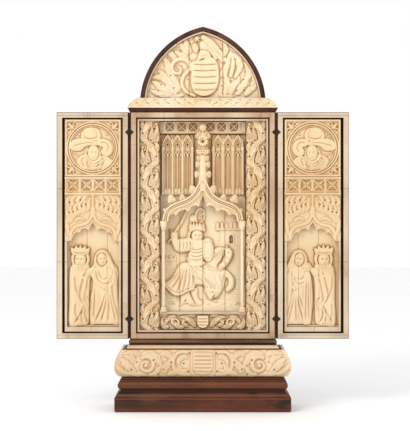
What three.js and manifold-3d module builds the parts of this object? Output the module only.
// A tabletop altarpiece: a wooden case faced and filled with carved bone, on a moulded base, under a
// pointed arch, with two wings on iron hinges. Millimetres, +Z up, the front looks along -Y, and the
// origin is under the middle of the base.
import * as THREE from "three";
import { mergeVertices } from "three/addons/utils/BufferGeometryUtils.js";
import Module from "manifold-3d";

const wasm = await Module();
wasm.setup();

// Joints between pieces
const seam = 0.3; // glue line between two pieces that touch
const wingClearance = 0.4; // above and below a wing
const hingeGap = 1.0; // between the wooden edges of case and wing

// Base
const baseWidth = 277;
const baseDepth = 100;
const plinthHeight = 54.4;
const plinthFace = 18.6; // height of the plinth's flat face
const footBead = 3.6;
const friezeHeight = 48.3;
const friezeWaist = 11.4; // how far the frieze draws in at its foot
const friezeShoulder = 13.6; // and at its top
const friezeSwell = 14.8; // height of its widest line above its foot
const friezeBone = 3.2; // thickness of its bone plates
const baseFilletSpread = 3; // bone moulding beyond the case's sides
const baseFilletHeight = 5.8;
const baseFilletProud = 3;
const baseCapHeight = 6.9;
const baseCapSpread = 1.5;

// Case
const caseWidth = 234;
const caseHeight = 363.4;
const caseDepth = 48;
const caseSetback = 4; // case back in front of the base's back
const sideBoard = 12.4;
const endBoard = 11.2; // top and bottom boards
const backBoard = 10;
const stripWidth = 7.8; // bone strips round the openings
const stripThickness = 3;
const stripHingeInset = 2.2; // bare wood beside the hinge line
const stripEdgeInset = 1.0; // bare wood on the other edges
const filletWidth = 2.4;
const filletFront = 1.5; // depths below are measured back from the case's front face
const filletBack = 12;
const vineWidth = 32;
const vineFace = 13;
const vinePlate = 4.7;
const vineRise = 8.5;

// Middle of the case
const scrollHeight = 24.8;
const scrollFace = 20;
const scrollRise = 7.5;
const sillHeight = 3.7;
const sillFront = 12;
const windowHeight = 117.9; // the rider relief fills what the windows leave
const scenePlate = 5;
const sceneRise = 12;
const windowFace = 30;
const windowRise = 4.5;
const windowCount = 3; // on each side of the shaft
const windowPitch = 16.2;
const windowAside = 16.6; // from the middle to the first pier
const bandHeight = 17;
const bandFace = 22;
const canopyFront = 9;
const canopyThickness = 10;
const shaftWidth = 4.6;
const shaftFront = 11;
const capitalHeight = 14;
const capitalSpread = 7; // beyond its shaft
const canopyRise = 160; // from the arch's spring to the top of the opening's field
const archSpan = 121; // between the middles of the arch's legs
const archBand = 9;
const finialHeight = 41;

// Cornice and arch
const corniceHeight = 23.4;
const corniceLip = 6.4; // height of the dark underside
const corniceSpread = 3.5;
const corniceSlope = 15.5; // how far the bone face leans back
const corniceBone = 3;
const archInset = 16.2; // arch in from the case's sides
const archRadius = 129.5;
const archCentreDrop = 12.2;
const archSetback = 14;
const archDepth = 22;
const archBoard = 8;
const rimThickness = 7;
const archFillet = 2.3;
const archFilletProud = 9;
const lunettePlate = 5;
const lunetteRise = 6;

// Wings
const wingWidth = 116;
const wingThickness = 22;
const wingBoard = 6;
const panelWidth = 90;
const medallionHeight = 91.8;
const panelFront = 1.2;
const medallionFloor = 4.2;
const canopyHeight = 103;
const canopySolid = 27; // height of its tracery band
const wingCanopyPlate = 7;
const nicheRim = 3.6;
const nicheSill = 7.4;
const nicheFloor = 12.6;
const figureRise = 8.6;

// Hinges
const hingeLift = 0.8; // pin in front of the faces
const knuckleRadius = 1.7;
const pinRadius = 0.75;
const boreClearance = 0.3;
const hingeHeight = 10.4;
const hingeReach = 7.2;
const leafThickness = 0.6;
const hingeLow = 32; // from the wing's foot and head to the hinges

// Places that follow from those sizes
const frontY = baseDepth / 2 - caseSetback - caseDepth;
const backY = frontY + caseDepth;
const caseHalf = caseWidth / 2;
const coreFoot = plinthHeight + seam;
const coreTop = coreFoot + friezeHeight;
const capFoot = coreTop + seam;
const caseFoot = capFoot + baseCapHeight + seam;
const caseTop = caseFoot + caseHeight;
const openHalf = caseHalf - sideBoard;
const baseFilletHalf = caseHalf + baseFilletSpread;
const archHalf = caseHalf - archInset;
const openFoot = caseFoot + endBoard;
const openTop = caseTop - endBoard;
const fieldHalf = openHalf - seam - filletWidth - seam;
const fieldFoot = openFoot + seam + filletWidth + seam;
const fieldTop = openTop - seam - filletWidth - seam;
const sillTop = fieldFoot + scrollHeight + seam + sillHeight;
const sceneHeight = fieldTop - windowHeight - seam - (sillTop + seam);
const middleHalf = fieldHalf - vineWidth - seam * 2;
const floorDepth = caseDepth - backBoard - seam;
const hingeX = caseHalf + hingeGap / 2;
const wingFoot = caseFoot + wingClearance;
const wingTop = caseTop - wingClearance;

const bone = new THREE.MeshStandardMaterial({ color: 0xe9d3a8, roughness: 0.45 });
const wood = new THREE.MeshStandardMaterial({ color: 0x4d2c1c, roughness: 0.5 });
const iron = new THREE.MeshStandardMaterial({ color: 0x2b2622, roughness: 0.6, metalness: 0.7 });

// A closed solid from corner points and triangles, turned so that its faces point out.
function solidFrom(points, triangles) {
  const make = (tris) =>
    new wasm.Manifold(
      new wasm.Mesh({
        numProp: 3,
        vertProperties: new Float32Array(points.flat()),
        triVerts: new Uint32Array(tris.flat()),
      }),
    );
  const solid = make(triangles);
  return solid.volume() >= 0 ? solid : make(triangles.map(([a, b, c]) => [a, c, b]));
}

// A solid through a row of rings, each with the same number of points, capped at both ends.
function loft(rings) {
  const n = rings[0].length;
  const triangles = [];
  for (let i = 0; i + 1 < rings.length; i++) {
    for (let j = 0; j < n; j++) {
      const a = i * n + j;
      const b = i * n + ((j + 1) % n);
      triangles.push([a, b, b + n], [a, b + n, a + n]);
    }
  }
  const last = (rings.length - 1) * n;
  for (let j = 1; j + 1 < n; j++) {
    triangles.push([0, j + 1, j], [last, last + j, last + j + 1]);
  }
  return solidFrom(rings.flat(), triangles);
}

// A three.js geometry as a solid.
function solidOf(geometry) {
  const bare = geometry.clone();
  bare.deleteAttribute("normal");
  bare.deleteAttribute("uv");
  const merged = mergeVertices(bare, 1e-4);
  return new wasm.Manifold(
    new wasm.Mesh({
      numProp: 3,
      vertProperties: new Float32Array(merged.attributes.position.array),
      triVerts: new Uint32Array(merged.index.array),
    }),
  );
}

function join(solids) {
  return solids.reduce((sum, solid) => sum.add(solid));
}

// A box between two corners, given in any order.
function box([x0, x1], [y0, y1], [z0, z1]) {
  const geometry = new THREE.BoxGeometry(Math.abs(x1 - x0), Math.abs(y1 - y0), Math.abs(z1 - z0));
  return solidOf(geometry.translate((x0 + x1) / 2, (y0 + y1) / 2, (z0 + z1) / 2));
}

// Depth behind the case's front face, as a place along Y.
const deep = (depth) => frontY + depth;

// A box in the case, with its depths measured back from the front face.
const cased = (xs, depths, zs) => box(xs, depths.map(deep), zs);

// A flat outline in x and z, thickened between two places along Y.
function slabY(outline, y0, y1, holes = []) {
  const shape = new THREE.Shape(outline.map(([x, z]) => new THREE.Vector2(x, z)));
  for (const hole of holes) {
    shape.holes.push(new THREE.Path(hole.map(([x, z]) => new THREE.Vector2(x, z))));
  }
  const geometry = new THREE.ExtrudeGeometry(shape, { depth: Math.abs(y1 - y0), bevelEnabled: false });
  return solidOf(geometry.rotateX(Math.PI / 2).translate(0, Math.max(y0, y1), 0));
}

// A flat outline in x and y, thickened between two heights.
function slabZ(outline, z0, z1) {
  const shape = new THREE.Shape(outline.map(([x, y]) => new THREE.Vector2(x, y)));
  const geometry = new THREE.ExtrudeGeometry(shape, { depth: z1 - z0, bevelEnabled: false });
  return solidOf(geometry.translate(0, 0, z0));
}

// A block with a moulded front and sides and a flat back: each level draws in by its inset.
function mouldedBlock(levels, half, front, back) {
  return loft(
    levels.map(([inset, z]) => [
      [-half + inset, front + inset, z],
      [half - inset, front + inset, z],
      [half - inset, back, z],
      [-half + inset, back, z],
    ]),
  );
}

// Carving. A field is a flat area that carving stands on: its drawing runs from -width/2 to width/2 and
// from 0 to height in the drawing's own millimetres, and is fitted to the real panel.
function field({
  centre, foot, width, height, face, drawnWidth, drawnHeight, deepness = 1, bulge = () => 0,
}) {
  const across = width / drawnWidth;
  const up = height / drawnHeight;
  const sink = 1.2;
  const place = (x, z, rise) => {
    const worldZ = foot + z * up;
    return [centre + x * across, face - rise * deepness + bulge(worldZ), worldZ];
  };
  const amount = (value, t) => (typeof value === "function" ? value(t) : value);
  return {
    // A raised stroke along a path: a sharp ridge where it is narrow, a flat crest where it is wide.
    stroke(path, half, rise) {
      const last = path.length - 1;
      const crests = Math.max(amount(half, 0), amount(half, 1)) < 3.5 ? [0] : [-0.5, 0.5];
      return loft(
        path.map(([x, z], i) => {
          const [x0, z0] = path[Math.max(i - 1, 0)];
          const [x1, z1] = path[Math.min(i + 1, last)];
          const length = Math.hypot(x1 - x0, z1 - z0);
          const h = amount(half, i / last);
          const nx = (-(z1 - z0) / length) * h;
          const nz = ((x1 - x0) / length) * h;
          const r = amount(rise, i / last);
          return [
            place(x - nx, z - nz, -sink),
            ...crests.map((share) => place(x + nx * share, z + nz * share, r)),
            place(x + nx, z + nz, -sink),
          ];
        }),
      );
    },
    // A low dome on an oval foot, with a shoulder when it has eight sides or more.
    dome(x, z, rx, rz, rise, sides = 6) {
      const ring = (share, lift) =>
        Array.from({ length: sides }, (_, i) => {
          const turn = (2 * Math.PI * i) / sides;
          return place(x + rx * share * Math.cos(turn), z + rz * share * Math.sin(turn), lift);
        });
      const shoulder = sides < 8 ? [] : [ring(0.92, rise * 0.45)];
      return loft([ring(1, -sink), ...shoulder, ring(sides < 8 ? 0.6 : 0.45, rise)]);
    },
    // A pointed leaf with a raised middle line.
    leaf(x, z, angle, length, half, rise) {
      const turn = (angle * Math.PI) / 180;
      const at = (along, side, lift) =>
        place(
          x + along * length * Math.cos(turn) - side * half * Math.sin(turn),
          z + along * length * Math.sin(turn) + side * half * Math.cos(turn),
          lift,
        );
      const points = [
        at(0, 0, -sink),
        at(0.35, -1, -sink),
        at(0.8, -0.6, -sink),
        at(1, 0, -sink),
        at(0.8, 0.6, -sink),
        at(0.35, 1, -sink),
        at(0.2, 0, rise * 0.8),
        at(0.72, 0, rise),
      ];
      const top = [
        [0, 1, 6],
        [1, 7, 6],
        [1, 2, 7],
        [2, 3, 7],
        [3, 4, 7],
        [4, 5, 7],
        [5, 6, 7],
        [5, 0, 6],
      ];
      const under = [1, 2, 3, 4].map((i) => [0, i + 1, i]);
      return solidFrom(points, [...top, ...under]);
    },
    // An outline of one thickness.
    plate(drawn, rise) {
      const clockwise = THREE.ShapeUtils.area(drawn.map(([x, z]) => ({ x, y: z }))) < 0;
      const outline = clockwise ? [...drawn].reverse() : drawn;
      const crest = outline.map(([x, z]) => place(x, z, rise));
      const foot = outline.map(([x, z]) => place(x, z, -sink));
      const shape = outline.map(([x, z]) => new THREE.Vector2(x, z));
      const caps = THREE.ShapeUtils.triangulateShape(shape, []);
      const n = outline.length;
      const triangles = caps.flatMap(([a, b, c]) => [
        [a, b, c],
        [a + n, c + n, b + n],
      ]);
      for (let i = 0; i < n; i++) {
        const j = (i + 1) % n;
        triangles.push([i, i + n, j + n], [i, j + n, j]);
      }
      return solidFrom([...crest, ...foot], triangles);
    },
    // Hanging cloth between an upper and a lower line, with folds that run down it.
    drape([left, right], [leftFoot, rightFoot], folds, rise) {
      const columns = 2 * folds + 1;
      const line = (a, b, lift) =>
        Array.from({ length: columns }, (_, i) => {
          const t = i / (columns - 1);
          const round = Math.sqrt(Math.sin(Math.PI * (0.12 + 0.76 * t)));
          const fold = i % 2 ? 1 : 0.55;
          return place(a[0] + (b[0] - a[0]) * t, a[1] + (b[1] - a[1]) * t, lift * round * fold);
        });
      const back = (a, b) =>
        Array.from({ length: columns }, (_, i) => {
          const t = 1 - i / (columns - 1);
          return place(a[0] + (b[0] - a[0]) * t, a[1] + (b[1] - a[1]) * t, -sink);
        });
      const middle = (a, b) => [(a[0] + b[0]) / 2, (a[1] + b[1]) / 2];
      const rings = [
        [left, right, rise * 0.85],
        [middle(left, leftFoot), middle(right, rightFoot), rise],
        [leftFoot, rightFoot, rise],
      ].map(([a, b, lift]) => [...line(a, b, lift), ...back(a, b)]);
      return loft(rings);
    },
  };
}

// Points on a circle or spiral, from one angle to another in degrees.
function arc(x, z, radius, from, to, steps, endRadius = radius) {
  return Array.from({ length: steps + 1 }, (_, i) => {
    const t = i / steps;
    const turn = ((from + (to - from) * t) * Math.PI) / 180;
    const r = radius + (endRadius - radius) * t;
    return [x + r * Math.cos(turn), z + r * Math.sin(turn)];
  });
}

// A smooth line through a few points.
function through(points, steps) {
  const curve = new THREE.SplineCurve(points.map(([x, z]) => new THREE.Vector2(x, z)));
  return curve.getPoints(steps).map((p) => [p.x, p.y]);
}

const mirrored = (path) => path.map(([x, z]) => [-x, z]);
const taper = (from, to) => (t) => from + (to - from) * t;

// Keeps carving inside its panel.
function trimmed(carving, xs, ys, zs) {
  return carving.intersect(box(xs, ys, zs));
}

const object = new THREE.Group();

function add(parent, name, material, solid) {
  const mesh = solid.getMesh();
  const geometry = new THREE.BufferGeometry();
  geometry.setAttribute("position", new THREE.BufferAttribute(new Float32Array(mesh.vertProperties), 3));
  geometry.setIndex(new THREE.BufferAttribute(new Uint32Array(mesh.triVerts), 1));
  geometry.computeVertexNormals();
  const made = new THREE.Mesh(geometry, material);
  made.name = name;
  parent.add(made);
}

// The frieze's outline: how far it draws in at a height. A quarter ellipse below its widest line and a
// parabola above it.
function friezeInset(z) {
  const widest = coreFoot + friezeSwell;
  if (z < widest) {
    const t = (widest - z) / friezeSwell;
    return friezeWaist * (1 - Math.sqrt(Math.max(0, 1 - t * t)));
  }
  const t = (z - widest) / (friezeHeight - friezeSwell);
  return friezeShoulder * t * t;
}

function levelsBetween(foot, top, steps, inset) {
  return Array.from({ length: steps + 1 }, (_, i) => {
    const z = foot + ((top - foot) * i) / steps;
    return [inset(z), z];
  });
}

// Wedges of the plan that part a three-sided facing at its front corners.
function mitres(half, front, reach, z0, z1) {
  const out = 30;
  const gap = seam / 2;
  const wedge = (points) => slabZ(points, z0, z1);
  return {
    front: wedge([
      [-half - out + gap, front - out],
      [half + out - gap, front - out],
      [half - reach - gap, front + reach],
      [-half + reach + gap, front + reach],
    ]),
    side: (sign) => {
      const points = [
        [half + out + gap, front - out],
        [half + out + gap, backY + out],
        [half - reach + gap, backY + out],
        [half - reach + gap, front + reach],
      ];
      return wedge(points.map(([x, y]) => [x * sign, y]));
    },
  };
}

// One acanthus scroll: a stem that curls in, with leaves along its outside.
function scroll(f, x, z, radius, hand, rise) {
  const turn = (angle) => (hand > 0 ? angle : 180 - angle);
  const stem = arc(x, z, radius, turn(200), turn(-100), 7, radius * 0.4);
  const leaves = [140, 75, 10].map((angle) => {
    const a = (turn(angle) * Math.PI) / 180;
    const [lx, lz] = [x + radius * 0.9 * Math.cos(a), z + radius * 0.9 * Math.sin(a)];
    return f.leaf(lx, lz, turn(angle - 35), radius * 0.75, radius * 0.26, rise * 0.75);
  });
  const eye = f.dome(x, z, radius * 0.3, radius * 0.3, rise, 6);
  return [f.stroke(stem, taper(radius * 0.2, radius * 0.12), rise), eye, ...leaves];
}

function buildBase(parent) {
  const half = baseWidth / 2;
  const front = -baseDepth / 2;
  const back = baseDepth / 2;
  const slope = plinthHeight - footBead - plinthFace;
  const plinthLevels = [
    [2.6, 0],
    [0.4, footBead * 0.8],
    [0, footBead],
    [0, footBead + plinthFace],
    [1, footBead + plinthFace + slope * 0.03],
    [5.4, footBead + plinthFace + slope * 0.2],
    [8.9, footBead + plinthFace + slope * 0.32],
    [9.4, footBead + plinthFace + slope * 0.42],
    [6.2, footBead + plinthFace + slope * 0.48],
    [5, footBead + plinthFace + slope * 0.58],
    [5.4, footBead + plinthFace + slope * 0.72],
    [7.6, footBead + plinthFace + slope * 0.82],
    [10.4, footBead + plinthFace + slope * 0.93],
    [11.8, plinthHeight],
  ];
  add(parent, "plinth", wood, mouldedBlock(plinthLevels, half, front, back));

  // The core steps in above the frieze, to carry the fillet.
  const filletFoot = coreTop - baseFilletHeight;
  const friezeTop = filletFoot - seam;
  const step = half - baseFilletHalf + baseFilletProud + seam;
  const core = (grow) =>
    mouldedBlock(
      [
        ...levelsBetween(coreFoot, friezeTop, 6, (z) => friezeInset(z) + friezeBone + seam - grow),
        [step - grow, friezeTop],
        [step - grow, coreTop],
      ],
      half,
      front,
      back,
    );
  add(parent, "base_core", wood, core(0));

  const levels = levelsBetween(coreFoot, friezeTop, 6, friezeInset);
  const shell = mouldedBlock(levels, half, front, back - seam).subtract(core(seam));
  const cut = mitres(half, front, friezeBone * 6, coreFoot - 1, friezeTop + 1);
  const f = field({
    centre: 0,
    foot: coreFoot,
    width: baseWidth - 2 * friezeWaist,
    height: friezeTop - coreFoot,
    face: front,
    drawnWidth: 257,
    drawnHeight: 41.2,
    bulge: friezeInset,
  });
  const shield = [
    [-19, 40.4],
    [19, 40.4],
    [19, 10],
    [13, 3.5],
    [0, 0.8],
    [-13, 3.5],
    [-19, 10],
  ];
  const sides = [1, -1].flatMap((hand) => [
    ...scroll(f, 78 * hand, 17, 16, hand, 2.6),
    f.stroke(
      through([[26 * hand, 36], [34 * hand, 14], [56 * hand, 8], [80 * hand, 1.6]], 5),
      taper(4, 2.6),
      2.4,
    ),
    f.leaf(24 * hand, 12, hand > 0 ? 60 : 120, 24, 6, 2.6),
    f.leaf(46 * hand, 22, hand > 0 ? 40 : 140, 20, 5, 2.2),
    f.leaf(100 * hand, 12, hand > 0 ? 50 : 130, 22, 6, 2.4),
    f.leaf(112 * hand, 26, hand > 0 ? -70 : 250, 18, 5, 2.2),
  ]);
  const carving = trimmed(
    join([f.plate(shield, 2.6), ...sides]),
    [-half + 12, half - 12],
    [front - 3, front + friezeShoulder + friezeBone],
    [coreFoot, friezeTop],
  ).subtract(core(seam));
  add(parent, "frieze_front", bone, shell.intersect(cut.front).add(carving));
  add(parent, "frieze_left", bone, shell.intersect(cut.side(-1)));
  add(parent, "frieze_right", bone, shell.intersect(cut.side(1)));

  const filletLevels = [
    [1.2, filletFoot],
    [0, filletFoot + 1.4],
    [0, coreTop - 1.4],
    [1.2, coreTop],
  ];
  const filletHalf = baseFilletHalf;
  const fillet = mouldedBlock(filletLevels, filletHalf, front + half - filletHalf, back - seam);
  add(parent, "base_fillet", bone, fillet.subtract(core(seam)));

  const capHalf = caseHalf + baseCapSpread;
  const capLevels = [
    [0, capFoot],
    [0, capFoot + 1],
    [baseCapSpread, capFoot + baseCapHeight],
  ];
  add(parent, "base_cap", wood, mouldedBlock(capLevels, capHalf, frontY - baseCapSpread, backY));
}

function buildCase(parent) {
  const boardFront = stripThickness + seam;
  add(
    parent,
    "case_back",
    wood,
    cased(
      [-openHalf + seam, openHalf - seam],
      [floorDepth + seam, caseDepth],
      [openFoot + seam, openTop - seam],
    ),
  );
  for (const [name, sign] of [["left", -1], ["right", 1]]) {
    add(
      parent,
      `case_side_${name}`,
      wood,
      cased([sign * openHalf, sign * caseHalf], [boardFront, caseDepth], [caseFoot, caseTop]),
    );
    const cheekFront = vineFace + vinePlate + seam;
    const cheekInner = middleHalf + seam;
    add(
      parent,
      `cheek_${name}`,
      wood,
      cased(
        [sign * cheekInner, sign * (openHalf - seam)],
        [cheekFront, floorDepth],
        [openFoot + seam, openTop - seam],
      ),
    );
    const outer = caseHalf - stripHingeInset;
    add(
      parent,
      `case_stile_${name}`,
      bone,
      cased(
        [sign * (outer - stripWidth), sign * outer],
        [0, stripThickness],
        [caseFoot + stripEdgeInset, caseTop - stripEdgeInset],
      ),
    );
  }
  const endHalf = openHalf - seam;
  add(
    parent,
    "case_bottom",
    wood,
    cased([-endHalf, endHalf], [boardFront, caseDepth], [caseFoot, openFoot]),
  );
  add(parent, "case_top", wood, cased([-endHalf, endHalf], [boardFront, caseDepth], [openTop, caseTop]));
  const railHalf = caseHalf - stripHingeInset - stripWidth - seam;
  const railFoot = caseFoot + stripEdgeInset;
  const railTop = caseTop - stripEdgeInset;
  add(
    parent,
    "case_rail_bottom",
    bone,
    cased([-railHalf, railHalf], [0, stripThickness], [railFoot, railFoot + stripWidth]),
  );
  add(
    parent,
    "case_rail_top",
    bone,
    cased([-railHalf, railHalf], [0, stripThickness], [railTop - stripWidth, railTop]),
  );

  const outerHalf = openHalf - seam;
  const outer = cased(
    [-outerHalf, outerHalf],
    [filletFront, filletBack],
    [openFoot + seam, openTop - seam],
  );
  const innerHalf = outerHalf - filletWidth;
  const inner = cased(
    [-innerHalf, innerHalf],
    [0, caseDepth],
    [openFoot + seam + filletWidth, openTop - seam - filletWidth],
  );
  add(parent, "case_fillet", bone, outer.subtract(inner));
}

// A climbing vine: a wavy stem with curled branches and leaves to both sides.
function vine(parent, name, sign) {
  const inner = middleHalf + 2 * seam;
  const centre = (sign * (inner + fieldHalf)) / 2;
  const height = fieldTop - fieldFoot;
  const drawnHeight = 335;
  const f = field({
    centre,
    foot: fieldFoot,
    width: fieldHalf - inner,
    height,
    face: deep(vineFace),
    drawnWidth: 32,
    drawnHeight,
  });
  const waves = 4;
  const wave = drawnHeight / waves;
  const swing = 8.5;
  const steps = waves * 4;
  const stem = Array.from({ length: steps + 1 }, (_, i) => {
    const t = i / steps;
    return [sign * swing * Math.sin(2 * Math.PI * waves * t + 0.6), drawnHeight * t];
  });
  const parts = [f.stroke(stem, 3.6, vineRise * 0.8)];
  for (let i = 0; i < 2 * waves; i++) {
    const side = i % 2 ? 1 : -1;
    const z = (i + 0.62) * (wave / 2);
    const out = side * sign;
    parts.push(
      f.stroke([[out * -4, z - 12], [out * 8, z], [out * 9, z + 14]], taper(3, 1.6), vineRise * 0.7),
      f.leaf(out * -9, z + 6, out > 0 ? 112 : 68, 20, 4.8, vineRise),
      f.leaf(out * 9, z - 12, out > 0 ? 62 : 118, 18, 4.8, vineRise * 0.85),
    );
  }
  const xs = [sign * inner, sign * fieldHalf];
  const zs = [fieldFoot, fieldTop];
  const plate = cased(xs, [vineFace, vineFace + vinePlate], zs);
  add(
    parent,
    name,
    bone,
    trimmed(join([plate, ...parts]), xs, [deep(vineFace - vineRise), deep(vineFace + vinePlate)], zs),
  );
}

// The relief in the case: a crowned rider with a sabre and an oval shield, before a wall and a tower.
function riderParts(f) {
  const merlons = (x0, x1, z, count, size) =>
    Array.from({ length: count }, (_, i) => {
      const x = x0 + ((x1 - x0 - size) * i) / (count - 1);
      return f.plate([[x, z], [x + size, z], [x + size, z + 5], [x, z + 5]], 4);
    });
  const tower = [
    f.plate([[27, 0], [64, 0], [64, 134], [27, 134]], 2.4),
    f.plate([[22, 132], [56, 132], [56, 139], [22, 139]], 4),
    ...merlons(22, 56, 138, 4, 5),
    f.plate([[43, 106], [50, 106], [50, 116], [46.5, 119], [43, 116]], 3.4),
  ];
  const wall = [f.plate([[-67, 0], [-44, 0], [-44, 84], [-67, 84]], 1.8), ...merlons(-67, -44, 83, 3, 5)];
  const ground = f.stroke(through([[-66, 10], [-30, 14], [10, 9], [40, 13], [66, 8]], 6), 9, 3);
  const horse = [
    f.dome(0, 58, 38, 17, 8, 8),
    f.stroke(through([[18, 62], [20, 84], [29, 98], [42, 97]], 5), taper(13, 8), 9),
    f.stroke(through([[42, 98], [47, 88], [40, 74], [36, 69]], 4), taper(8.5, 4.6), 10),
    f.leaf(44, 100, 70, 7, 2, 9),
    f.stroke(through([[8, 54], [10, 38], [14, 24], [19, 21], [27, 32]], 6), taper(7.5, 3.2), 9),
    f.stroke(through([[24, 58], [38, 60], [48, 56], [48, 44], [44, 34]], 6), taper(8, 3.2), 9.5),
    f.stroke(through([[-28, 44], [-30, 26], [-24, 10], [-16, 7]], 4), taper(5, 3), 7),
    f.stroke(through([[-36, 44], [-38, 28], [-33, 12]], 3), taper(4.5, 2.8), 5),
  ];
  const rider = [
    f.drape([[-22, 79], [-5, 76]], [[-61, 44], [-46, 26]], 3, 10),
    f.drape([[-22, 79], [-4, 76]], [[-48, 27], [-14, 35]], 4, 11),
    f.drape([[-12, 74], [2, 72]], [[-14, 50], [6, 48]], 3, 11),
    f.stroke([[-12, 74], [-11, 92], [-10, 108]], (t) => 8 + 3.4 * t, 11),
    f.dome(-16, 107, 7, 6, 11),
    f.stroke(through([[-16, 108], [-28, 103], [-40, 102]], 3), taper(5.4, 4), 9.5),
    f.stroke([[-40, 101], [-47, 119]], taper(4, 2.8), 9),
    f.dome(-47, 121, 3.4, 3.6, 9, 6),
    f.stroke(through([[-54, 110], [-44, 128], [-33, 144], [-26, 166]], 6), taper(1.4, 2.2), 6),
    f.dome(-7, 122, 9.6, 9, 10.5, 8),
    f.plate([[-17, 129], [5, 129], [7, 141], [1, 135.5], [-5.5, 142], [-12, 135.5], [-19, 141]], 9.5),
    f.stroke(through([[-8, 140], [-13, 148], [-7, 157], [-2, 152]], 5), taper(3, 1.6), 6),
    f.dome(10, 97, 9, 16.5, 12, 8),
    f.stroke([[-12, 72], [-2, 56], [2, 40], [6, 34]], taper(5.4, 2.8), 12),
    f.stroke([[8, 76], [24, 71], [37, 72]], 1.5, 10.5),
  ];
  return [...tower, ...wall, ground, ...horse, ...rider];
}

function buildScene(parent) {
  const foot = sillTop + seam;
  const top = foot + sceneHeight;
  const face = deep(floorDepth - scenePlate);
  const xs = [-middleHalf, middleHalf];
  const zs = [foot, top];
  const f = field({
    centre: 0,
    foot,
    width: 2 * middleHalf,
    height: sceneHeight,
    face,
    drawnWidth: 138,
    drawnHeight: 187.7,
    deepness: sceneRise / 12,
  });
  const plate = box(xs, [face, deep(floorDepth)], zs);
  const panel = trimmed(join([plate, ...riderParts(f)]), xs, [face - sceneRise, deep(floorDepth)], zs);
  // Four upright plaques, joined edge to edge. Each edge is a share of the panel's half width.
  const edges = [-1, -0.54, 0, 0.52, 1];
  for (let i = 0; i + 1 < edges.length; i++) {
    const x0 = edges[i] * middleHalf + (i ? seam / 2 : -1);
    const x1 = edges[i + 1] * middleHalf - (i + 2 < edges.length ? seam / 2 : -1);
    add(
      parent,
      `scene_plaque_${i + 1}`,
      bone,
      panel.intersect(box([x0, x1], [face - 2 * sceneRise, deep(caseDepth)], [foot - 1, top + 1])),
    );
  }
}

// The lower frieze in the case, with a small shield between scrolls, and the sill above it.
function buildScrollFrieze(parent) {
  const zs = [fieldFoot, fieldFoot + scrollHeight];
  const xs = [-middleHalf, middleHalf];
  const face = deep(scrollFace);
  const f = field({
    centre: 0, foot: zs[0], width: 2 * middleHalf, height: scrollHeight, face, drawnWidth: 138,
    drawnHeight: 24.8,
  });
  const shield = [[-10, 24.4], [10, 24.4], [10, 7], [6, 2.5], [0, 1], [-6, 2.5], [-10, 7]];
  const sides = [1, -1].flatMap((hand) => [
    ...scroll(f, 48 * hand, 11, 9, hand, scrollRise * 0.8),
    f.leaf(13 * hand, 4, hand > 0 ? 55 : 125, 19, 4.5, scrollRise * 0.7),
    f.leaf(28 * hand, 6, hand > 0 ? 75 : 105, 17, 4.5, scrollRise * 0.8),
    f.leaf(64 * hand, 6, hand > 0 ? 95 : 85, 17, 4, scrollRise * 0.7),
  ]);
  const block = box(xs, [face, deep(floorDepth)], zs);
  const carving = join([block, f.plate(shield, scrollRise), ...sides]);
  add(parent, "scroll_frieze", bone, trimmed(carving, xs, [face - scrollRise, deep(floorDepth)], zs));
  const sillFoot = zs[1] + seam;
  add(parent, "sill", bone, cased(xs, [sillFront, floorDepth], [sillFoot, sillFoot + sillHeight]));
}

// The blind windows above the scene: lancets in pairs of arches, under a band of pierced squares.
function buildWindows(parent) {
  const foot = sillTop + seam + sceneHeight + seam;
  const top = fieldTop;
  const xs = [-middleHalf, middleHalf];
  const height = top - foot;
  const face = deep(windowFace);
  const f = field({
    centre: 0, foot, width: 2 * middleHalf, height, face, drawnWidth: 138, drawnHeight: 118,
  });
  const headFoot = 75;
  const bandFoot = 118 - bandHeight;
  const bays = [1, -1].flatMap((hand) =>
    Array.from({ length: windowCount }, (_, i) => hand * (windowAside + windowPitch * (i + 0.5))),
  );
  const piers = [1, -1].flatMap((hand) =>
    Array.from({ length: windowCount + 1 }, (_, i) => hand * (windowAside + windowPitch * i)),
  );
  const reach = windowPitch / 2;
  const parts = [
    ...piers.map((x) => f.stroke([[x, 0], [x, headFoot]], 2.6, windowRise)),
    ...bays.map((x) => {
      const arch = [
        [x - reach, headFoot],
        [x - reach * 0.86, headFoot + 10],
        [x, headFoot + 21],
        [x + reach * 0.86, headFoot + 10],
        [x + reach, headFoot],
      ];
      return f.stroke(arch, 1.9, windowRise);
    }),
  ];
  const spandrel = box(
    xs,
    [face - windowRise * 0.6, face + 1],
    [foot + (headFoot + 21) * (height / 118), top],
  );
  const bandZ = top - bandHeight * (height / 118);
  const band = box(xs, [deep(bandFace), deep(floorDepth)], [bandZ, top]);
  const g = field({
    centre: 0, foot: bandZ, width: 2 * middleHalf, height: top - bandZ, face: deep(bandFace),
    drawnWidth: 138, drawnHeight: bandHeight,
  });
  const pits = [-55, -34, -14, 14, 34, 55].map((x) => pit(g, x, 9.4, 6.4));
  const block = box(xs, [face, deep(floorDepth)], [foot, top]);
  const lip = f.stroke([[-69, bandFoot], [69, bandFoot]], 1.8, windowFace - bandFace + 1.6);
  const carving = join([block, spandrel, band, lip, ...parts]).subtract(join(pits));
  add(parent, "windows", bone, trimmed(carving, xs, [deep(bandFace - 2), deep(floorDepth)], [foot, top]));
}

// A pit in the shape of a four-pointed star, to be cut out of a face.
function pit(f, x, z, half) {
  const star = Array.from({ length: 8 }, (_, i) => {
    const turn = (Math.PI * i) / 4;
    const reach = i % 2 ? half * 0.4 : half;
    return [x + reach * Math.cos(turn), z + reach * Math.sin(turn)];
  });
  return f.plate(star, 0.9);
}

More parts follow.
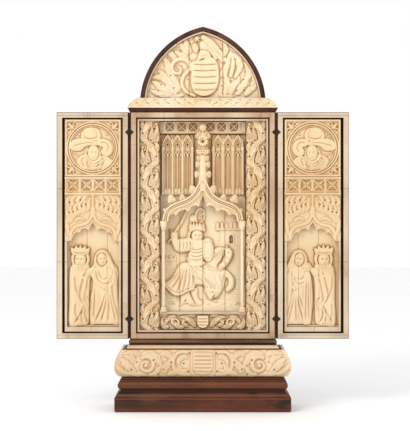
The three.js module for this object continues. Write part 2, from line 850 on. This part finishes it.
// Half of an ogee arch's line, from its leg to its point, given as shares of its half width and rise:
// a round haunch that turns over into a long hollow curve.
const caseOgee = [
  [1, 0], [0.94, 0.21], [0.79, 0.34], [0.61, 0.41], [0.4, 0.49], [0.22, 0.62], [0.09, 0.81], [0, 1],
];
const wingOgee = [
  [1, 0], [0.94, 0.27], [0.78, 0.45], [0.5, 0.52], [0.28, 0.6], [0.15, 0.69], [0.06, 0.84], [0, 1],
];
function ogee(shares, half, rise, steps) {
  return through(shares.map(([across, up]) => [across * half, up * rise]), steps);
}

// The canopy before the scene: an ogee arch with cusps and crockets, a shaft and a leafy finial.
function buildCanopy(parent) {
  const spring = fieldTop - canopyRise;
  const y0 = deep(canopyFront);
  const face = deep(canopyFront + canopyThickness);
  const f = field({
    centre: 0,
    foot: spring,
    width: 2 * middleHalf,
    height: canopyRise,
    face: face - 1,
    drawnWidth: 138,
    drawnHeight: 160,
  });
  const thick = canopyThickness - 2;
  const half = archSpan / 2;
  const line = ogee(caseOgee, half, 65, 9);
  const parts = [];
  for (const side of [line, mirrored(line)]) {
    parts.push(f.stroke(side, archBand / 2, thick));
  }
  // The pierced web under the arch, with three cusps on each side.
  const cusped = [
    [56, 0], [53, 8], [46, 11], [42.7, 8.3], [38, 14.5], [29, 17.8], [23.5, 14.6], [17.5, 22.6], [10, 24.6],
    [6.7, 22.4], [3, 32.5], [0, 40.6],
  ];
  const inner = line.slice(0, -1).filter(([, z]) => z < 60);
  parts.push(
    f.plate(
      [...cusped, ...mirrored(cusped.slice(0, -1)).reverse(), ...mirrored(inner), ...[...inner].reverse()],
      thick * 0.55,
    ),
  );
  for (const hand of [1, -1]) {
    const turn = (angle) => (hand > 0 ? angle : 180 - angle);
    parts.push(
      f.leaf(48 * hand, 24, turn(82), 17, 5, thick),
      f.leaf(15 * hand, 42, turn(60), 15, 4, thick),
    );
  }
  const shaftFoot = 54;
  const shaftTop = 106;
  const knobTop = shaftTop + 12;
  parts.push(
    f.stroke([[0, shaftFoot], [0, 72], [0, shaftTop]], (t) => 7.4 - 2.6 * Math.min(1, t * 1.6), thick + 1),
    f.plate(
      [
        [-5, shaftTop - 2], [5, shaftTop - 2], [11, shaftTop + 4], [11, shaftTop + 7], [6, knobTop],
        [-6, knobTop], [-11, shaftTop + 7], [-11, shaftTop + 4],
      ],
      thick + 1,
    ),
    f.leaf(2, 85, 52, 17, 4.2, thick),
    f.leaf(-2, 85, 128, 17, 4.2, thick),
  );
  const crown = knobTop - 1;
  const bowl = [[3, crown], [7, crown + 9], [12, crown + 20], [9, crown + 27]];
  parts.push(f.stroke(bowl, 3, thick), f.stroke(mirrored(bowl), 3, thick));
  parts.push(
    f.dome(0, crown + 34, 5.6, 6.4, thick, 6),
    f.stroke([[0, crown - 2], [0, crown + finialHeight - 2]], taper(2.6, 3.6), thick),
  );
  const canopy = join(parts);
  const stay = cased(
    [-3, 3],
    [canopyFront + canopyThickness - 3, bandFace - seam * 2],
    [fieldTop - bandHeight * 0.8, fieldTop - 4],
  );
  const xs = [-middleHalf, middleHalf];
  const ys = [y0 - 1.6, deep(bandFace - seam * 2)];
  add(parent, "canopy", bone, trimmed(canopy.add(stay), xs, ys, [spring, fieldTop - seam]));

  for (const [name, sign] of [["left", -1], ["right", 1]]) {
    const x1 = sign * middleHalf;
    const capFootZ = spring - seam - capitalHeight;
    const depths = [shaftFront, shaftFront + shaftWidth + 2];
    const shaft = cased([x1 - sign * shaftWidth, x1], depths, [sillTop + seam, capFootZ + 1]);
    const capital = mouldedCapital(x1, sign, capFootZ, depths);
    const foot = cased(
      [x1 - sign * (shaftWidth + 1.6), x1],
      [depths[0] - 1.2, depths[1]],
      [sillTop + seam, sillTop + seam + 4],
    );
    add(parent, `colonnette_${name}`, bone, join([shaft, foot, capital]));
  }
}

function mouldedCapital(x, sign, z, [front, back]) {
  const ring = (spread, height) => {
    const inner = x - sign * (shaftWidth + spread);
    return [
      [inner, deep(front - spread / 3), height],
      [x, deep(front - spread / 3), height],
      [x, deep(back), height],
      [inner, deep(back), height],
    ];
  };
  return loft([
    ring(0, z),
    ring(capitalSpread * 0.4, z + capitalHeight * 0.35),
    ring(capitalSpread, z + capitalHeight * 0.6),
    ring(capitalSpread, z + capitalHeight),
  ]);
}

function buildCornice(parent) {
  const foot = caseTop + seam;
  const lip = foot + corniceLip;
  const top = foot + corniceHeight;
  const half = caseHalf + corniceSpread;
  const front = frontY - corniceSpread;
  const faceInset = (z) => {
    const t = Math.min(Math.max((z - lip) / (top - lip), 0), 1);
    return corniceSlope * (0.35 * t + 0.65 * t * t);
  };
  const core = (grow) => {
    const levels = [
      [corniceSpread, foot],
      [0.4, lip - seam],
      ...levelsBetween(lip - seam + 0.01, top, 4, (z) => faceInset(z) + corniceBone + seam - grow),
    ];
    return mouldedBlock(levels, half, front, backY);
  };
  add(parent, "cornice_core", wood, core(0));
  const shell = mouldedBlock(
    levelsBetween(lip, top, 4, faceInset),
    half,
    front,
    backY - seam,
  ).subtract(core(seam));
  const cut = mitres(half, front, corniceSlope + 3 * corniceBone, lip - 1, top + 1);
  const f = field({
    centre: 0, foot: lip, width: 2 * half, height: top - lip, face: front, drawnWidth: 241,
    drawnHeight: 17, bulge: faceInset,
  });
  const rise = 1.8;
  const fan = [60, 90, 120].map((angle) => f.leaf(0, 2, angle, 12, 2.6, rise));
  const runs = [1, -1].flatMap((hand) =>
    [0, 1, 2].flatMap((i) => {
      const x = hand * (24 + 29 * i);
      return [
        f.stroke(
          [[x - hand * 10, 3], [x, 8], [x + hand * 8, 13], [x + hand * 14, 9]],
          taper(2.4, 1.4),
          rise,
        ),
        f.leaf(x + hand * 4, 8, hand > 0 ? -30 : 210, 12, 2.6, rise),
      ];
    }),
  );
  const carving = trimmed(
    join([...fan, ...runs]),
    [-half + corniceSlope, half - corniceSlope],
    [front - 2, front + corniceSlope + corniceBone],
    [lip, top],
  );
  add(parent, "cornice_front", bone, shell.intersect(cut.front).add(carving));
  add(parent, "cornice_left", bone, shell.intersect(cut.side(-1)));
  add(parent, "cornice_right", bone, shell.intersect(cut.side(1)));
}

// The pointed arch: two arcs of one radius that meet at the top, drawn in by an inset. Its sides can
// run on below the foot.
function archOutline(inset, foot, steps, below = 0) {
  const radius = archRadius - inset;
  const lift = archCentreDrop;
  const centre = Math.sqrt(archRadius ** 2 - lift ** 2) - archHalf;
  const start = Math.asin(lift / radius);
  const end = Math.acos(centre / radius);
  const right = Array.from({ length: steps + 1 }, (_, i) => {
    const turn = start + ((end - start) * i) / steps;
    return [radius * Math.cos(turn) - centre, foot + radius * Math.sin(turn) - lift];
  });
  const half = right[0][0];
  const under = below ? [[-half, foot - below], [half, foot - below]] : [];
  return [...right, ...mirrored(right.slice(0, -1)).reverse(), ...under];
}

function buildLunette(parent) {
  const foot = caseTop + seam + corniceHeight + seam;
  const steps = 8;
  const front = deep(archSetback);
  const back = front + archDepth;
  const rim = slabY(archOutline(0, foot, steps), front, back).subtract(
    slabY(archOutline(rimThickness, foot, steps, 1), front - 1, back + 1),
  );
  add(parent, "arch_rim", wood, rim);
  add(
    parent,
    "arch_board",
    wood,
    slabY(archOutline(rimThickness + seam, foot, steps), back - archBoard, back),
  );
  const plateBack = back - archBoard - seam;
  const filletOuter = rimThickness + seam;
  const fillet = slabY(archOutline(filletOuter, foot, steps), front + 1, plateBack).subtract(
    slabY(archOutline(filletOuter + archFillet, foot, steps, 1), front - 1, back + 1),
  );
  add(parent, "arch_fillet", bone, fillet);

  const inset = filletOuter + archFillet + seam;
  const face = plateBack - lunettePlate;
  const outline = slabY(archOutline(inset, foot, steps), face - lunetteRise, plateBack);
  const plate = slabY(archOutline(inset, foot, steps), face, plateBack);
  const f = field({
    centre: 0,
    foot,
    width: 2 * (archHalf - inset),
    height: 101,
    face,
    drawnWidth: 182,
    drawnHeight: 101,
  });
  const shieldOutline = [...arc(5, 27, 22.5, 200, 340, 6), [27, 58], [5, 62], [-17, 58]];
  const shield = [f.plate(shieldOutline, 5)];
  for (const z of [14, 25, 36, 47]) {
    const reach = z < 20 ? 17 : 20;
    shield.push(f.plate([[5 - reach, z], [5 + reach, z], [5 + reach, z + 2], [5 - reach, z + 2]], 5.8));
  }
  const helmet = [
    f.dome(3, 72, 9, 11, 6),
    f.stroke([[3, 60], [3, 68]], 11, 5.4),
    f.dome(-9, 76, 6, 9, 4.4),
    f.leaf(-8, 86, 100, 11, 5, 4.6),
    f.leaf(2, 84, 80, 11, 4, 4),
  ];
  const mantling = [1, -1].flatMap((hand) => [
    ...scroll(f, 5 + 38 * hand, 42, 13, hand, 5),
    ...scroll(f, 5 + 52 * hand, 16, 12, -hand, 5),
    f.stroke(
      through([[5 + 16 * hand, 78], [5 + 30 * hand, 72], [5 + 44 * hand, 60], [5 + 58 * hand, 40]], 6),
      taper(4.4, 2.4),
      4.6,
    ),
    f.leaf(5 + 24 * hand, 76, hand > 0 ? -20 : 200, 18, 4.6, 4.6),
    f.leaf(5 + 24 * hand, 6, hand > 0 ? 25 : 155, 22, 4.6, 4.6),
    f.leaf(5 + 62 * hand, 34, hand > 0 ? 50 : 130, 20, 4.6, 4.2),
    f.leaf(5 + 68 * hand, 4, hand > 0 ? 60 : 120, 20, 4.6, 4.2),
  ]);
  const panel = join([plate, ...shield, ...helmet, ...mantling]).intersect(outline);
  // Three plaques: the shield between its two sides. Each edge is a share of the arch's half width.
  const edges = [-1.1, -0.22, 0.32, 1.1];
  const names = ["left", "middle", "right"];
  names.forEach((name, i) => {
    const x0 = edges[i] * archHalf + seam / 2;
    const x1 = edges[i + 1] * archHalf - seam / 2;
    add(
      parent,
      `lunette_${name}`,
      bone,
      panel.intersect(box([x0, x1], [face - 20, back], [foot - 1, foot + 140])),
    );
  });
}

// A standing figure in a long cloak. The crown or veil is set on its head.
function figure(f, x, { half, head, crowned, foot = 8, shoulders = 101 }) {
  const parts = [
    f.drape(
      [[x - half * 0.75, shoulders], [x + half * 0.75, shoulders]],
      [[x - half * 1.05, foot], [x + half * 1.05, foot]],
      4,
      figureRise * 0.95,
    ),
    f.dome(x, shoulders - 1, half * 0.86, 7, figureRise * 0.9),
    f.dome(x + head, shoulders + 15, 8.6, 11, figureRise, 8),
  ];
  if (crowned) {
    const z = shoulders + 24;
    parts.push(
      f.plate(
        [
          [x + head - 10, z], [x + head + 10, z], [x + head + 13, z + 12], [x + head + 5, z + 7],
          [x + head, z + 12], [x + head - 5, z + 7], [x + head - 13, z + 12],
        ],
        figureRise * 0.9,
      ),
    );
  } else {
    parts.push(f.dome(x + head, shoulders + 16, 12.5, 13.5, figureRise * 0.72));
  }
  return parts;
}

function buildWing(parent, name, sign) {
  const hingeEdge = hingeX + hingeGap / 2;
  const outerEdge = hingeEdge + wingWidth;
  const xs = [sign * hingeEdge, sign * outerEdge];
  const boardFront = stripThickness + seam;
  const frameInner = hingeEdge + stripHingeInset + stripWidth;
  const frameOuter = outerEdge - stripEdgeInset - stripWidth;
  const frameFoot = wingFoot + stripEdgeInset + stripWidth;
  const frameTop = wingTop - stripEdgeInset - stripWidth;
  const well = [sign * (frameInner + seam), sign * (frameOuter - seam)];
  const board = cased(xs, [boardFront, wingThickness], [wingFoot, wingTop]);
  const hollow = cased(
    well,
    [boardFront - 1, wingThickness - wingBoard],
    [frameFoot + seam, frameTop - seam],
  );
  add(parent, `${name}_board`, wood, board.subtract(hollow));
  const strips = cased(
    [sign * (frameInner - stripWidth), sign * (frameOuter + stripWidth)],
    [0, stripThickness],
    [frameFoot - stripWidth, frameTop + stripWidth],
  );
  const opening = cased(
    [sign * frameInner, sign * frameOuter],
    [-1, stripThickness + 1],
    [frameFoot, frameTop],
  );
  add(parent, `${name}_frame`, bone, strips.subtract(opening));

  // The panel stands a little nearer the hinge than the middle of the well.
  const centre = (sign * (hingeEdge + outerEdge)) / 2;
  const px = [centre - panelWidth / 2, centre + panelWidth / 2];
  const floor = wingThickness - wingBoard - seam;
  const groove = 2.6;
  const medallionTop = frameTop - groove;
  const medallionFoot = medallionTop - medallionHeight;
  add(parent, `${name}_medallion`, bone, medallion(centre, px, floor, medallionFoot, medallionTop));

  const canopyTop = medallionFoot - seam;
  const canopyFoot = canopyTop - canopyHeight;
  const nicheFoot = frameFoot + groove;
  const nicheTop = canopyTop - canopySolid;
  add(parent, `${name}_canopy`, bone, wingCanopy(centre, px, floor, canopyFoot, canopyTop));
  add(parent, `${name}_niche`, bone, niche(centre, px, floor, nicheFoot, nicheTop - seam, sign));
}

// A square plaque with a round moulding, corner darts, and a head in a broad hat in the middle.
function medallion(centre, px, floor, foot, top) {
  const zs = [foot, top];
  const face = deep(medallionFloor);
  const f = field({
    centre, foot, width: panelWidth, height: top - foot, face, drawnWidth: 90, drawnHeight: 91.8,
  });
  const rise = medallionFloor - panelFront;
  const c = 45.9;
  const ring = (radius, half, lift) => {
    const n = 14;
    const rings = Array.from({ length: n }, (_, i) => {
      const turn = (2 * Math.PI * i) / n;
      return [Math.cos(turn), Math.sin(turn)];
    });
    const outer = f.plate(rings.map(([a, b]) => [a * (radius + half), c + b * (radius + half)]), lift);
    return outer.subtract(
      f.plate(rings.map(([a, b]) => [a * (radius - half), c + b * (radius - half)]), lift + 1),
    );
  };
  const edge = [[-45, 0], [45, 0], [45, 91.8], [-45, 91.8]];
  const inset = 3.2;
  const border = f.plate(edge, rise).subtract(
    f.plate(
      [[-45 + inset, inset], [45 - inset, inset], [45 - inset, 91.8 - inset], [-45 + inset, 91.8 - inset]],
      rise + 1,
    ),
  );
  const darts = [45, 135, 225, 315].map((angle) => {
    const turn = (angle * Math.PI) / 180;
    return f.leaf(43 * Math.cos(turn), c + 43 * Math.sin(turn), angle, 15, 3, rise);
  });
  const head = [
    f.dome(2, c - 6, 8, 11, rise + 0.6, 8),
    f.plate(
      [
        [-26, c + 4], [-16, c - 3], [0, c + 3], [16, c + 2], [27, c - 8], [28, c + 6], [12, c + 9],
        [-18, c + 10],
      ],
      rise,
    ),
    f.dome(0, c + 13, 14, 8, rise),
    f.stroke(arc(2, c - 8, 15, 200, 340, 6), 2.6, rise * 0.8),
  ];
  const plate = box(px, [face, deep(floor)], zs);
  const parts = [plate, border, ring(37, 3.4, rise), ...darts, ...head];
  return trimmed(join(parts), px, [deep(panelFront - 0.6), deep(floor)], zs);
}

// A band of pierced squares over a field of leaves, cut below to an ogee arch with cusps.
function wingCanopy(centre, px, floor, foot, top) {
  const height = top - foot;
  const face = deep(panelFront + 2.6);
  const plateBack = deep(panelFront + 2.6 + wingCanopyPlate);
  const f = field({ centre, foot, width: panelWidth, height, face, drawnWidth: 90, drawnHeight: 103 });
  const line = ogee(wingOgee, 36.5, 42, 9).map(([x, z]) => [x, z + 4]);
  // The opening has two cusps on each side and a point in the middle.
  const edge = [
    [33.5, -2], [33.5, 4], [30, 11.5], [
      25.4, 14.2,
    ], [22.9, 12.6], [18.5, 19], [11, 20.4], [6.9, 17.2], [4, 24.4], [0, 30],
  ];
  const gap = [...edge, ...mirrored(edge.slice(0, -1)).reverse()];
  const unit = ([x, z]) => [centre + (x * panelWidth) / 90, foot + (z * height) / 103];
  const plate = box(px, [face, plateBack], [foot, top]).subtract(
    slabY(gap.map(unit), face - 20, plateBack + 5),
  );
  const back = box(px, [face, deep(floor)], [top - canopySolid, top]);
  const parts = [plate, back];
  for (const side of [line, mirrored(line)]) {
    parts.push(f.stroke(side, 2.2, 2.4));
  }
  for (const hand of [1, -1]) {
    const turn = (angle) => (hand > 0 ? angle : 180 - angle);
    parts.push(
      f.leaf(30 * hand, 40, turn(80), 28, 5.4, 2),
      f.leaf(13 * hand, 46, turn(55), 26, 5, 2.2),
      f.leaf(4 * hand, 52, turn(80), 20, 3.4, 2.4),
    );
  }
  parts.push(f.stroke([[-45, 75], [45, 75]], 1.6, 2.6), f.stroke([[-45, 100.6], [45, 100.6]], 2, 2.6));
  for (const x of [-42.5, -20, 20, 42.5]) {
    parts.push(f.stroke([[x, 75], [x, 101]], 1.6, 2.6));
  }
  const pits = [-31, -10, 10, 31].map((x) => pit(f, x, 88, 8));
  return trimmed(join(parts).subtract(join(pits)), px, [deep(panelFront), deep(floor)], [foot, top]);
}

// A shallow box with a man and a woman in it, and a child between them.
function niche(centre, px, floor, foot, top, sign) {
  const height = top - foot;
  const face = deep(nicheFloor);
  const plateBack = deep(floor);
  const f = field({
    centre, foot: foot + nicheSill, width: panelWidth, height: 145, face, drawnWidth: 90,
    drawnHeight: 145,
  });
  const behind = deep(panelFront + 2.6 + wingCanopyPlate + seam);
  const front = deep(panelFront + 0.6);
  const rims = [px[0], px[1] - nicheRim].map(
    (x) => box([x, x + nicheRim], [front, plateBack], [foot, top - canopyHeight + canopySolid]),
  );
  const rimsBehind = [px[0], px[1] - nicheRim].map(
    (x) => box([x, x + nicheRim], [behind, plateBack], [foot, top]),
  );
  const parts = [
    box(px, [face, plateBack], [foot, top]),
    box(px, [front, plateBack], [foot, foot + nicheSill]),
    ...rims,
    ...rimsBehind,
    ...figure(f, sign * 22, { half: 17.5, head: sign * -1, crowned: true }),
    ...figure(f, sign * -19, { half: 18, head: sign * 3, crowned: false, shoulders: 99 }),
    f.dome(sign * -3, 95, 6, 12, figureRise * 0.9),
    f.dome(sign * -3, 110, 4.6, 5, figureRise * 0.8, 6),
    f.stroke([[sign * 26, 92], [sign * 8, 84], [sign * -2, 88]], taper(4, 2.6), figureRise),
    f.stroke([[sign * -26, 90], [sign * -10, 82], [sign * 0, 86]], taper(4, 2.6), figureRise),
  ];
  return trimmed(join(parts), px, [front, plateBack], [foot, top]);
}

// A pair of pointed leaves on a pin. The case's leaf holds the pin and the outer knuckles.
function buildHinge(caseGroup, wingGroup, wing, level, sign, z) {
  const axisY = frontY - hingeLift;
  const post = (radius, z0, z1) => {
    const sides = radius > pinRadius + boreClearance ? 8 : 6;
    const geometry = new THREE.CylinderGeometry(radius, radius, z1 - z0, sides);
    return solidOf(geometry.rotateX(Math.PI / 2).translate(sign * hingeX, axisY, (z0 + z1) / 2));
  };
  const half = hingeHeight / 2;
  const middle = hingeHeight * 0.2;
  const gap = seam;
  const leafBack = axisY + hingeLift - 0.1;
  const leaf = (direction, rootHalf) => {
    const root = sign * hingeX + direction * (knuckleRadius + boreClearance);
    const tip = sign * hingeX + direction * hingeReach;
    const neck = sign * hingeX + direction * knuckleRadius * 0.6;
    const wide = slabY(
      [[root, z - half * 0.92], [tip, z], [root, z + half * 0.92]],
      leafBack - leafThickness,
      leafBack,
    );
    const tongues = rootHalf.map(
      ([a, b]) => box([neck, root + direction * 0.4], [leafBack - leafThickness, leafBack], [z + a, z + b]),
    );
    return join([wide, ...tongues]);
  };
  const outer = [
    [-half, -middle - gap],
    [middle + gap, half],
  ];
  const knuckles = outer.map(([a, b]) => post(knuckleRadius, z + a, z + b));
  const tongueSpans = [
    [-half * 0.8, -middle - gap - 0.4],
    [middle + gap + 0.4, half * 0.8],
  ];
  const toCase = -sign;
  const pin = post(pinRadius, z - half - 1.2, z + half + 1.2);
  add(
    caseGroup,
    `${wing}_hinge_${level}_case_leaf`,
    iron,
    join([...knuckles, pin, leaf(toCase, tongueSpans)]),
  );
  const tube = post(knuckleRadius, z - middle, z + middle);
  const toWing = sign;
  const wingLeaf = join([tube, leaf(toWing, [[-middle + 0.2, middle - 0.2]])]).subtract(
    post(pinRadius + boreClearance, z - half - 2, z + half + 2),
  );
  add(wingGroup, `${wing}_hinge_${level}_wing_leaf`, iron, wingLeaf);
}

const caseGroup = new THREE.Group();
object.add(caseGroup);
buildBase(caseGroup);
buildCase(caseGroup);
vine(caseGroup, "vine_left", -1);
vine(caseGroup, "vine_right", 1);
buildScrollFrieze(caseGroup);
buildScene(caseGroup);
buildWindows(caseGroup);
buildCanopy(caseGroup);
buildCornice(caseGroup);
buildLunette(caseGroup);
for (const [side, sign] of [["left", -1], ["right", 1]]) {
  const wing = `wing_${side}`;
  const wingGroup = new THREE.Group();
  object.add(wingGroup);
  buildWing(wingGroup, wing, sign);
  buildHinge(caseGroup, wingGroup, wing, "low", sign, wingFoot + hingeLow);
  buildHinge(caseGroup, wingGroup, wing, "high", sign, wingTop - hingeLow);
}

export default object;
